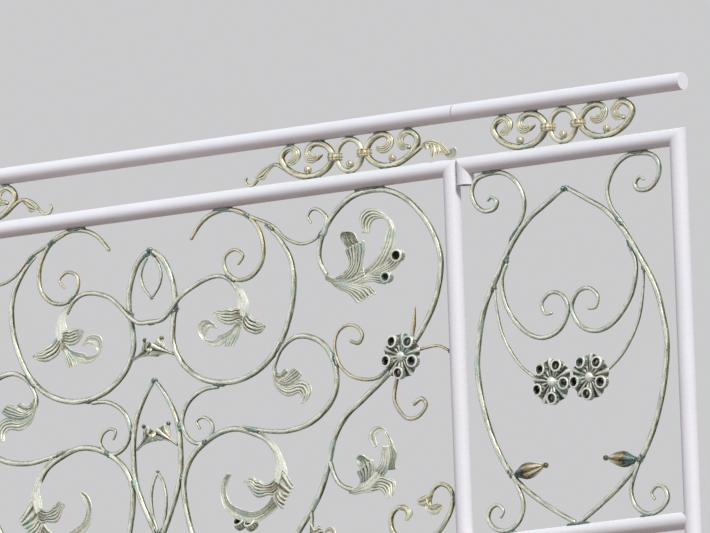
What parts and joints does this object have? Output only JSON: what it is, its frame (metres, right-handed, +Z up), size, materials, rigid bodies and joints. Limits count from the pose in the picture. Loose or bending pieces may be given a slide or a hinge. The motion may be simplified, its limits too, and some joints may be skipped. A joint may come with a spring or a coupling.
{
  "type": "balcony railing",
  "caption": "Straight balcony railing of round white tube, its bays and top band filled with hand-forged acanthus scrollwork, on bolted base plates.",
  "frame": {"origin": "on the underside of the right inner post's base plate, under the post axis", "axes": "+X along the railing to the right as seen from outside, +Y from the outer face inwards over the floor, +Z up; the centre bay spans X -1.70 to 0 m"},
  "size_m": [3.04, 0.1, 1.099],
  "materials": {
    "white_paint": "gloss enamel over steel tube, slightly dusty",
    "patina_iron": "hand-rubbed verdigris, pale green and gold streaks over dark bronze",
    "bronze_iron": "hand-rubbed antique gold over dark bronze"
  },
  "bodies": {
    "root": {"handrail_centre": "white_paint", "handrail_left": "white_paint", "handrail_right": "white_paint", "second_rail_centre": "white_paint", "second_rail_left": "white_paint", "second_rail_right": "white_paint", "post_left_inner": "white_paint", "post_right_inner": "white_paint", "post_left_outer": "white_paint", "post_right_outer": "white_paint", "bottom_rail_centre": "white_paint", "bottom_rail_left": "white_paint", "bottom_rail_right": "white_paint", "base_plates": "white_paint", "acanthus_scroll_left": "patina_iron", "acanthus_scroll_right": "patina_iron", "heart_scrolls": "patina_iron", "leaf_stems": "patina_iron", "loop_scroll_left": "patina_iron", "loop_scroll_right": "patina_iron", "foot_scroll_left": "patina_iron", "foot_scroll_right": "patina_iron", "lyre_scrolls": "patina_iron", "axis_sprays": "bronze_iron", "rail_tendril_left": "patina_iron", "rail_tendril_right": "patina_iron", "rosette_tendrils_left": "bronze_iron", "rosette_tendrils_right": "bronze_iron", "post_scroll_left": "patina_iron", "post_scroll_right": "patina_iron", "oval_scrolls_left": "patina_iron", "oval_scrolls_right": "patina_iron", "spiral_scrolls_left": "patina_iron", "spiral_scrolls_right": "patina_iron", "corner_scrolls_left": "patina_iron", "corner_scrolls_right": "patina_iron", "rosettes": "bronze_iron", "buds": "bronze_iron", "frieze_scrolls_centre_left": "patina_iron", "frieze_scrolls_centre_right": "patina_iron", "frieze_scrolls_left": "patina_iron", "frieze_scrolls_right": "patina_iron", "frieze_collars": "bronze_iron", "frieze_balls": "bronze_iron", "frieze_leaves": "bronze_iron"}
  },
  "joints": []
}
